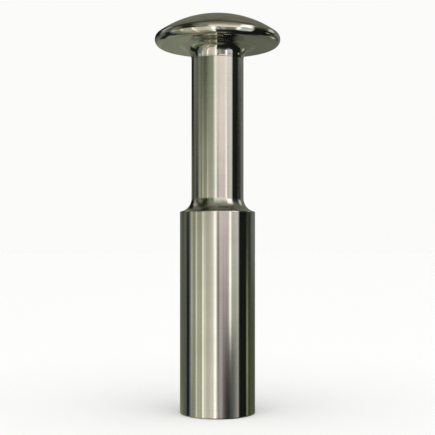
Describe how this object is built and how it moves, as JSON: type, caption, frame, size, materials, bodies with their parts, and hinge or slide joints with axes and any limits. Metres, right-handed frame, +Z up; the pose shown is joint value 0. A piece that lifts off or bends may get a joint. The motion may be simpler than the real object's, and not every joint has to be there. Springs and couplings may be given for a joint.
{
  "type": "rivet setter",
  "caption": "Hand-struck rivet setter: turned steel barrel with a burr-driving bore and a doming cup in its face, a slimmer filleted neck and a polished mushroom striking head.",
  "frame": {"origin": "centre of the setting face, the flat face at the barrel's end that meets the rivet", "axes": "+Z up along the tool's axis, towards the striking head; +X from the burr bush towards the doming die"},
  "size_m": [0.0318, 0.0318, 0.1006],
  "materials": {
    "turned_stainless": "fine turned, satin",
    "polished_stainless": "mirror polished",
    "black_oxide_steel": "black oxide",
    "hardened_tool_steel": "ground and hardened"
  },
  "bodies": {
    "root": {"shank": "turned_stainless", "striking_head": "polished_stainless", "head_stud": "black_oxide_steel", "burr_bush": "hardened_tool_steel", "doming_die": "hardened_tool_steel"}
  },
  "joints": []
}
